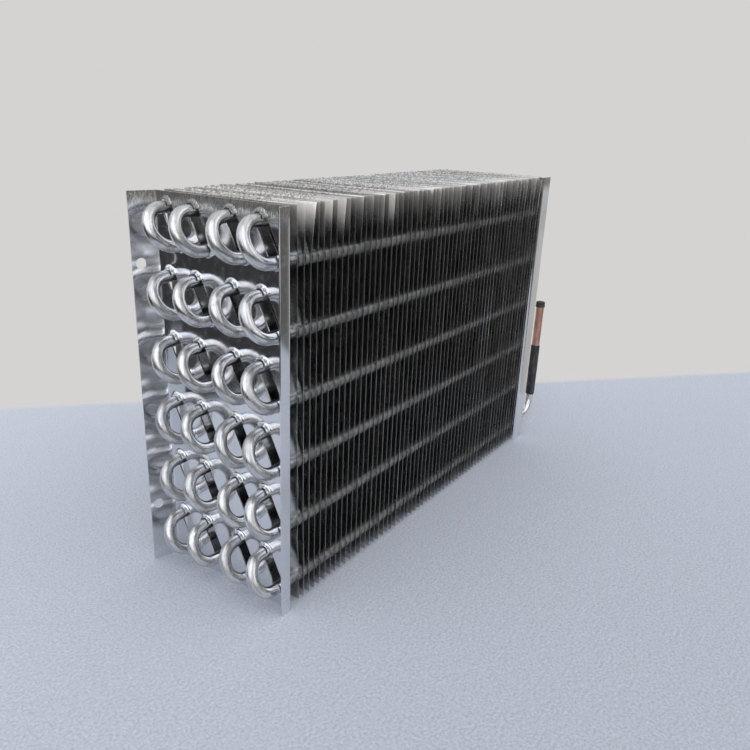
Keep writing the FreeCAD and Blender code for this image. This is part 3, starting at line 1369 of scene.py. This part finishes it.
@dataclass
class FinPack:
    """Fins with collared slots, each a little different."""

    layout: Layout
    thickness: float = 0.2 * MM
    near_gap: float = 7.5 * MM
    far_gap: float = 4.0 * MM
    count: int = 57
    bottom: float = 3.0 * MM
    height: float = 264.0 * MM
    half_width: float = 55.25 * MM
    slot_radius: float = 4.25 * MM
    sides: int = 14
    collar_length: float = 5.0 * MM
    collar_gap: float = 0.02 * MM
    collar_skirt: float = 1.4 * MM
    levels: tuple[float, ...] = (
        6.0, 13.0, 21.0, 32.0, 48.0, 66.0, 84.0, 102.0, 121.0, 140.0, 160.0, 180.0,
        200.0, 215.0, 228.0, 237.0, 245.0, 252.0, 258.0, 263.2)
    spreads: tuple[float, ...] = (0.95, 0.90, 0.82, 0.6, 0.3)
    edge_curl: float = 0.4 * MM
    per_node: int = 3
    seed: int = 11

    def cutter(self) -> Piece:
        """Cutters for all slots: round-ended prisms.

        Returns:
            The cutters, as one piece.
        """
        lay = self.layout
        reach = 2.0 * MM
        stretched = add_rod(
            "slot_cutter", Vector((-reach, 0, 0)), Vector((reach, 0, 0)),
            self.slot_radius, self.sides)
        direction = lay.slot_direction()
        mesh = edit(stretched)
        for end in (1, -1):
            pick_verts(mesh, stretched, lambda co: co.dot(direction) * end > 0)
            bpy.ops.transform.translate(value=direction * (end * lay.leg_spacing / 2))
            mesh = bmesh.from_edit_mesh(stretched.data)
        leave()
        cutters = [moved_copy(stretched, "slot_cut", Matrix.Translation(middle))
                   for middle in lay.slots()]
        bpy.data.objects.remove(stretched)
        return join("slot_cutters", cutters)

    def collars(self) -> list[Piece]:
        """Small lips round both ends of each slot.

        Returns:
            The lips, each in its place on the flat fin.
        """
        lay = self.layout
        lip = add_rod("fin_lip", Vector((0, 0, 0)), Vector((self.collar_length, 0, 0)),
                      self.slot_radius + self.collar_gap, self.sides, "NOTHING")
        direction = lay.slot_direction()
        mesh = edit(lip)
        pick_verts(mesh, lip, lambda co: co.dot(direction) < -self.collar_skirt)
        bpy.ops.mesh.delete(type="VERT")
        leave()
        finish_with(lip, "SOLIDIFY", thickness=self.thickness, offset=1.0)
        lips = []
        flip = Matrix.Rotation(math.pi, 4, "X")
        for middle in lay.slots():
            for end, turn in ((1, Matrix.Identity(4)), (-1, flip)):
                place = Matrix.Translation(middle + direction * (end * lay.leg_spacing / 2))
                lips.append(moved_copy(lip, "fin_lip_copy", place @ turn))
        bpy.data.objects.remove(lip)
        return lips

    def master(self) -> Piece:
        """Flat fin with slots and creases, at X = 0.

        Returns:
            The fin's sheet.
        """
        half = self.thickness / 2
        sheet = add_box("fin", (-half, -self.half_width, self.bottom),
                        (half, self.half_width, self.bottom + self.height))
        carve(sheet, self.cutter())
        edit(sheet)
        for level in self.levels:
            cut_across((0, 0, self.bottom + level * MM), (0, 0, 1))
        places = [share * self.half_width for share in self.spreads]
        places.append(self.half_width - self.edge_curl)
        for place in [-p for p in places] + [0.0] + places:
            cut_across((0, place, 0), (0, 1, 0))
        leave()
        return sheet

    def build(self, foil: Finish, pale: Finish, drawn: Finish) -> None:
        """Copy the fin to its stations and bend each copy.

        Args:
            foil: finish of the sheets.
            pale: finish of the sheets whose tops are painted paler, as painted light where they
                catch more light at the top.
            drawn: finish of the lips.
        """
        sheet = self.master()
        dress(sheet, foil)
        lips = join("fin_lips", self.collars())
        dress(lips, drawn)
        master = join("fin", [sheet, lips])
        rng = random.Random(self.seed)
        lay = self.layout
        first = lay.near_x + self.near_gap
        step = (lay.far_x - self.far_gap - first) / (self.count - 1)
        group: list[Piece] = []
        for number in range(self.count):
            piece = copy_of(master, "fin_%02d" % (number + 1))
            # Painted light: these fins get the paler top
            if number in PAINTED_LIGHT_FINS:
                piece.data.materials[0] = pale
            bend = draw_bend(number, self.count, rng)
            bend_fin(piece, bend, self.bottom, self.height, self.half_width)
            piece.data.transform(Matrix.Translation((first + number * step, 0, 0)))
            group.append(piece)
            if len(group) == self.per_node or number == self.count - 1:
                node = "fins_%02d" % (number // self.per_node + 1)
                whole = join(node + "_foil", group)
                smooth(whole, 25.0)
                hand_in(whole, Slot.FIN, node)
                group = []
        bpy.data.objects.remove(master)


@dataclass(frozen=True)
class FinBend:
    """How handling has bent one fin. Shifts run along the block, in metres unless said.

    Attributes:
        profile: pairs of a height share and a shift in millimetres.
        top: shift of the top edge.
        low: shift of the bottom edge.
        front_corner: added shift of the front corner at the top.
        back_corner: added shift of the back corner at the top.
        hem: uneven shift of the top edge alone.
        edge: uneven shift of the upright edges alone.
        phase: the fin's place in the noise.
        lift: shift of the top and bottom edges along Z.
    """

    profile: tuple[tuple[float, float], ...]
    top: float
    low: float
    front_corner: float
    back_corner: float
    hem: float
    edge: float
    phase: float
    lift: float
    top_from: float = 0.87
    top_span: float = 0.13
    low_span: float = 0.10
    corner_from: float = 0.82
    corner_span: float = 0.18
    hem_from: float = 0.9985
    edge_from: float = 0.998
    lift_zone: float = 0.02
    ripple_waves: tuple[float, float] = (2.0, 9.0)
    ripple_low: float = 0.16
    ripple_top: float = 0.6
    fine_waves: tuple[float, float] = (14.0, 34.0)
    fine_phase: float = 40.0

    def profile_shift(self, share: float) -> float:
        """Shift of the fin's own bent profile at a share of its height.

        Args:
            share: height as a share of the fin's height.

        Returns:
            The shift.
        """
        for (low, shift_low), (high, shift_high) in zip(self.profile, self.profile[1:]):
            if share <= high:
                part = (share - low) / (high - low)
                part = part * part * (3.0 - 2.0 * part)
                return (shift_low + (shift_high - shift_low) * part) * MM
        return self.profile[-1][1] * MM

    def shift(self, share: float, side: float) -> float:
        """Shift of a point of the fin.

        Args:
            share: its height as a share of the fin's height.
            side: its place across the fin, from -1 at the front to 1 at the back.

        Returns:
            The shift along the block.
        """
        clear = min(max(share, 0.0), 1.0)
        top = max(0.0, (clear - self.top_from) / self.top_span)
        low = max(0.0, (self.low_span - clear) / self.low_span)
        front = max(0.0, (-side - self.corner_from) / self.corner_span)
        back = max(0.0, (side - self.corner_from) / self.corner_span)
        hem = 1.0 if clear > self.hem_from else 0.0
        edge = 1.0 if abs(side) > self.edge_from else 0.0
        across, upward = self.ripple_waves
        ripple = noise.noise(Vector((self.phase, side * across, clear * upward)))
        across, upward = self.fine_waves
        fine = noise.noise(Vector((self.phase + self.fine_phase, side * across, clear * upward)))
        return (self.profile_shift(clear)
                + self.top * top ** 1.5 + self.low * low ** 1.3
                + (self.front_corner * front + self.back_corner * back) * top
                + ripple * (self.ripple_low + self.ripple_top * top) * MM
                + self.hem * hem * (1.0 + 0.9 * fine)
                + self.edge * edge * (1.0 + 0.8 * fine))


def draw_bend(number: int, count: int, rng: random.Random) -> FinBend:
    """Bend of one fin: known bends of some fins, and small random ones.

    Args:
        number: its number from the near plate.
        count: number of fins.
        rng: the pack's own random numbers.

    Returns:
        The bend.
    """
    flat = ((0.0, 0.0), (1.0, 0.0))
    return FinBend(
        profile=BENT_FINS.get(number, BENT_FINS.get(number - count, flat)),
        top=rng.uniform(-0.8, 0.9) * MM,
        low=rng.uniform(-0.6, 0.6) * MM,
        front_corner=rng.choice((-0.7, 0.2, 0.5, 0.9, 1.6)) * MM,
        back_corner=rng.uniform(-0.8, 1.2) * MM,
        hem=rng.uniform(0.06, 0.34) * MM,
        edge=rng.uniform(0.01, 0.11) * MM,
        phase=rng.uniform(0.0, 100.0),
        lift=rng.uniform(-0.7, 0.0) * MM)


def bend_fin(piece: Piece, bend: FinBend, bottom: float, height: float, half_width: float) -> None:
    """Bend one fin, still at X = 0.

    Args:
        piece: the fin.
        bend: its bend.
        bottom: height of its lower edge.
        height: its height.
        half_width: half its width.
    """
    for vert in piece.data.vertices:
        share = (vert.co.z - bottom) / height
        vert.co.x += bend.shift(share, vert.co.y / half_width)
        if share > 1.0 - bend.lift_zone or share < bend.lift_zone:
            vert.co.z += bend.lift


# Fins bent in use, by number from the near plate, or from the far plate where it is negative.
# Each has pairs of a height share and a shift in millimetres.
BENT_FINS: dict[int, tuple[tuple[float, float], ...]] = {
    0: ((0.00, 1.9), (0.10, 1.5), (0.20, 0.4), (0.31, 1.0), (0.44, 0.0), (0.90, 0.0), (1.00, -1.9)),
    1: ((0.00, 1.3), (0.10, 1.0), (0.20, 0.0), (0.90, 0.0), (1.00, -0.6)),
    2: ((0.00, 0.5), (0.10, 0.0), (0.90, 0.0), (1.00, 1.7)),
    5: ((0.00, 0.0), (0.89, 0.0), (0.95, 0.7), (1.00, 1.5)),
    7: ((0.00, 0.0), (0.90, 0.0), (1.00, 2.1)),
    11: ((0.00, 0.0), (0.93, 0.0), (1.00, -1.4)),
    16: ((0.00, 0.0), (0.88, 0.0), (1.00, 2.2)),
    -9: ((0.00, 0.0), (0.92, 0.0), (1.00, 1.6)),
    -6: ((0.00, 0.0), (0.88, 0.0), (1.00, 2.4)),
    -3: ((0.00, 0.0), (0.88, 0.0), (1.00, 3.0)),
    -2: ((0.00, 0.0), (0.88, 0.0), (1.00, 2.2)),
    -1: ((0.00, -1.2), (0.10, 0.0), (0.88, 0.0), (1.00, 2.8)),
}

# Fins whose tops get painted light, a paler top where they catch more light from above, by number
# from the near plate
PAINTED_LIGHT_FINS = (1, 2, 5, 7, 16)


@dataclass
class Stage:
    """Floor, light and camera."""

    layout: Layout
    camera_place: Triple = (-299.38 * MM, -319.76 * MM, 311.23 * MM)
    azimuth: float = math.radians(35.844)
    elevation: float = math.radians(-20.073)
    roll: float = math.radians(1.808)
    focal_px: float = 711.91
    centre_px: tuple[float, float] = (354.70, 379.89)
    image_px: float = 750.0
    sensor_mm: float = 36.0
    line_angle: float = math.radians(48.54)
    line_offset: float = 352.0 * MM
    line_blur: float = 7.0 * MM
    table_middle: tuple[float, float] = (-32.0 * MM, -227.0 * MM)
    table_radius: float = 530.0 * MM
    floor_sides: int = 96
    floor_reach: float = 12.0
    floor_dark: Triple = (0.388, 0.416, 0.482)
    floor_light: Triple = (0.606, 0.650, 0.753)
    # Painted light on the floor: its tone rises to the back and falls to the right
    painted_light_ahead: float = 0.943
    painted_shade_aside: float = 0.389
    tone_drop: float = 0.562
    wall_tone: Triple = (0.665, 0.650, 0.645)
    room_tone: Triple = (0.037, 0.037, 0.038)
    right_tone: Triple = (0.112, 0.110, 0.106)
    ceiling_tone: Triple = (0.76, 0.77, 0.80)
    window_tone: Triple = (0.90, 1.00, 1.20)
    window_side: Triple = (-0.78, 0.22, 0.59)
    soft_near: Triple = (1.08, 1.085, 1.09)
    soft_far: Triple = (0.61, 0.615, 0.62)

    def camera(self) -> None:
        """Camera at the photograph's place."""
        data = bpy.data.cameras.new("camera")
        data.sensor_width = self.sensor_mm
        data.lens = self.focal_px / self.image_px * self.sensor_mm
        data.shift_x = (self.image_px / 2 - self.centre_px[0]) / self.image_px
        data.shift_y = (self.centre_px[1] - self.image_px / 2) / self.image_px
        data.clip_start = 0.01
        camera = bpy.data.objects.new("camera", data)
        bpy.context.scene.collection.objects.link(camera)
        forward = Vector((math.cos(self.elevation) * math.cos(self.azimuth),
                          math.cos(self.elevation) * math.sin(self.azimuth),
                          math.sin(self.elevation)))
        right = forward.cross(Vector((0, 0, 1))).normalized()
        up = right.cross(forward)
        tilted_right = right * math.cos(self.roll) + up * math.sin(self.roll)
        tilted_up = up * math.cos(self.roll) - right * math.sin(self.roll)
        turn = Matrix((tilted_right, tilted_up, -forward)).transposed()
        camera.matrix_world = Matrix.Translation(self.camera_place) @ turn.to_4x4()
        bpy.context.scene.camera = camera

    def floor_material(self) -> Finish:
        """Grained floor with painted light, lighter to the back and left, with the wall's tone
        beyond the table's end.

        Returns:
            The material.
        """
        recipe = Recipe("pale_floor")
        grain = recipe.noise((560, 560, 560), 3.0, 0.6)
        mottle = recipe.noise((110, 110, 110), 4.0, 0.6)
        ahead, aside = floor_axes(recipe.axis("X"), recipe.axis("Y"), self.line_angle)
        patches = recipe.noise((6, 6, 6), 2.0, 0.5) * 0.09 + mottle * 0.18 + grain * 1.9
        # Painted light: the floor's colour is lighter to the back and darker to the right
        grain_and_painted_light = patches + ahead * self.painted_light_ahead - aside * self.painted_shade_aside - self.tone_drop
        beyond = ahead.ramp(self.line_offset - self.line_blur, self.line_offset + self.line_blur)
        table = recipe.node("ShaderNodeBsdfPrincipled", inputs={
            "Base Color": recipe.mix(grain_and_painted_light, self.floor_dark, self.floor_light),
            "Roughness": 0.75, "Normal": recipe.bump(grain, 1.0, 0.7 * MM)})
        wall = recipe.node("ShaderNodeEmission", inputs={"Color": (*self.wall_tone, 1.0)})
        recipe.close(recipe.node("ShaderNodeMixShader", inputs={
            "Fac": beyond, 1: table.outputs["BSDF"], 2: wall.outputs["Emission"]}))
        return recipe.material

    def circle(self, name: str, fill: str) -> Piece:
        """Level circle as wide as the table.

        Args:
            name: the piece's name.
            fill: fill of the primitive.

        Returns:
            The piece.
        """
        deselect()
        bpy.ops.mesh.primitive_circle_add(
            vertices=self.floor_sides, radius=self.table_radius, fill_type=fill,
            location=(*self.table_middle, 0.0))
        return settle(name)

    def floor(self) -> None:
        """Round table top, and the wide floor that only the camera and soft light see."""
        material = self.floor_material()
        table = self.circle("table_top", "NGON")
        around = self.circle("wide_floor", "NOTHING")
        edit(around, action="SELECT")
        bpy.ops.mesh.extrude_region_move()
        bpy.ops.transform.resize(value=(self.floor_reach, self.floor_reach, 1.0),
                                 center_override=(*self.table_middle, 0.0))
        leave()
        recalculate(around)
        around.visible_glossy = False
        for piece in (table, around):
            dress(piece, material)

    def world(self) -> None:
        """Pale wall for the camera, soft light mostly from its side, and a room for gloss."""
        world = bpy.data.worlds.new("studio")
        nodes = Nodes(world, "ShaderNodeOutputWorld")
        x, y, rise = nodes.parts(nodes.node("ShaderNodeTexCoord").outputs["Generated"])
        ahead, aside = floor_axes(x, y, self.line_angle)
        facing = (ahead * -1.0).ramp(0.35, 0.80) * rise.ramp(-0.02, 0.10)
        behind = ahead.ramp(0.16, 0.42).math("MAXIMUM", facing)
        side_x, side_y, side_z = self.window_side
        window = (x * side_x + y * side_y + rise * side_z).ramp(0.80, 0.93)
        dim = nodes.mix(aside.ramp(-0.2, 0.6), self.room_tone, self.right_tone)
        room = nodes.mix(behind, dim, self.wall_tone)
        sky = nodes.mix(window, self.ceiling_tone, self.window_tone)
        gloss = nodes.mix(rise.ramp(0.04, 0.34), room, sky)
        soft = nodes.mix(ahead * 0.5 + 0.5, self.soft_near, self.soft_far)
        path = nodes.node("ShaderNodeLightPath")
        unseen = nodes.mix(path.outputs["Is Glossy Ray"], soft, gloss)
        seen = nodes.mix(path.outputs["Is Camera Ray"], unseen, self.wall_tone)
        nodes.close(nodes.node("ShaderNodeBackground", inputs={"Color": seen, "Strength": 1.0}))
        bpy.context.scene.world = world

    def lamp(self, name: str, place: Triple, size: float, watts: float) -> None:
        """Soft square lamp aimed at the block.

        Args:
            name: the lamp's name.
            place: its middle.
            size: its side, in metres.
            watts: its power.
        """
        data = bpy.data.lights.new(name, "AREA")
        data.energy = watts
        data.size = size
        lamp = bpy.data.objects.new(name, data)
        bpy.context.scene.collection.objects.link(lamp)
        aim = Vector((self.layout.far_x / 2, 0.0, self.layout.plate_height / 2)) - Vector(place)
        lamp.rotation_euler = aim.to_track_quat("-Z", "Y").to_euler()
        lamp.location = place

    def build(self) -> None:
        """Set the whole stage."""
        bpy.context.scene.view_settings.view_transform = "Standard"
        self.camera()
        self.floor()
        self.world()
        self.lamp("window", place=(-1.2, -0.3, 1.5), size=2.6, watts=13.0)
        self.lamp("fill", place=(0.9, -1.5, 1.2), size=2.0, watts=6.0)


def main() -> None:
    """Build every sub-assembly around the frame."""
    logging.basicConfig(level=logging.INFO)
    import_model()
    layout = read_layout()
    plate = PolishedSheet().build()
    tube = DrawnTube().build()
    Coil(layout).build(tube)
    # Paler copy of the foil: painted light on the tops of the fins that catch more light
    lit_top_foil = FinFoil(dull_top_and_painted_light=(0.87, 0.83, 0.78), dull_from=244.0 * MM, dull_to=266.0 * MM,
                    metal_share=0.50, name="painted_light_foil")
    FinPack(layout).build(FinFoil().build(), lit_top_foil.build(), FinCollar().build())
    copper = TarnishedCopper().build()
    sleeve = ShrunkPlastic().build()
    rubber = CapRubber().build()
    near = EndPlate(layout, "near_end_plate", layout.near_x, Side.NEAR,
                    front_depth=9.0 * MM, back_flare=math.radians(14.5))
    far = EndPlate(layout, "far_end_plate", layout.far_x, Side.FAR,
                   front_depth=16.0 * MM, back_flare=0.0)
    for end_plate in (near, far):
        end_plate.build(plate)
    for side, column in (("inlet", 0), ("outlet", len(layout.columns) - 1)):
        PipeTail(layout, side, column).build(sleeve, copper, rubber)
    Stage(layout).build()


if __name__ == "__main__":
    main()
